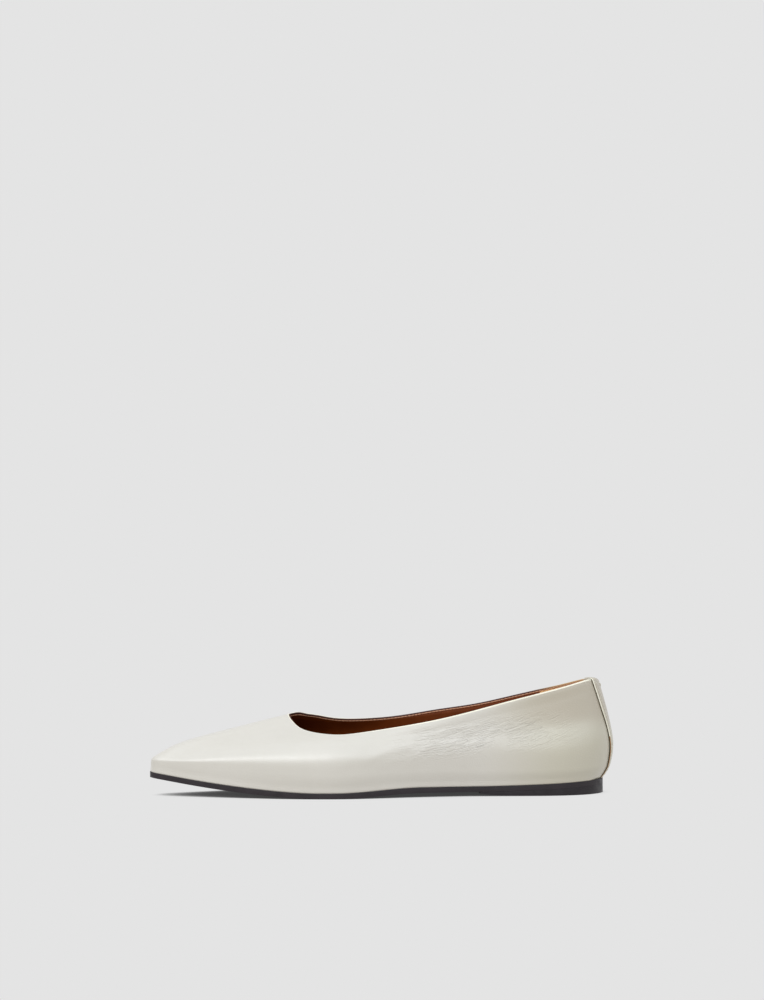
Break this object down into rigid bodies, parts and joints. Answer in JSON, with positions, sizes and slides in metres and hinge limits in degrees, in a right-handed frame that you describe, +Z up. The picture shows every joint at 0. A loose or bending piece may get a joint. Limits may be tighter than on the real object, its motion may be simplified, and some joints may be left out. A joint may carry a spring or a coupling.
{
  "type": "ballet flat",
  "caption": "Left pointed ballet flat: a smooth one-piece leather upper with a low open collar and a strip over the back seam, on a thin sole with a low heel lift.",
  "frame": {"origin": "middle of the shoe's length and width, on the floor that it stands on", "axes": "+Z up, -X towards the toe, -Y towards the outer side of the foot"},
  "size_m": [0.258, 0.0794, 0.0641],
  "materials": {
    "upper_leather": "satin, fine grain",
    "lining": "matt",
    "sock_lining": "matt",
    "thread": "matt",
    "sole": "satin"
  },
  "bodies": {
    "root": {"outsole": "sole", "heel_lift": "sole", "insole": "sock_lining", "upper": "upper_leather", "back_strip": "upper_leather"}
  },
  "joints": []
}
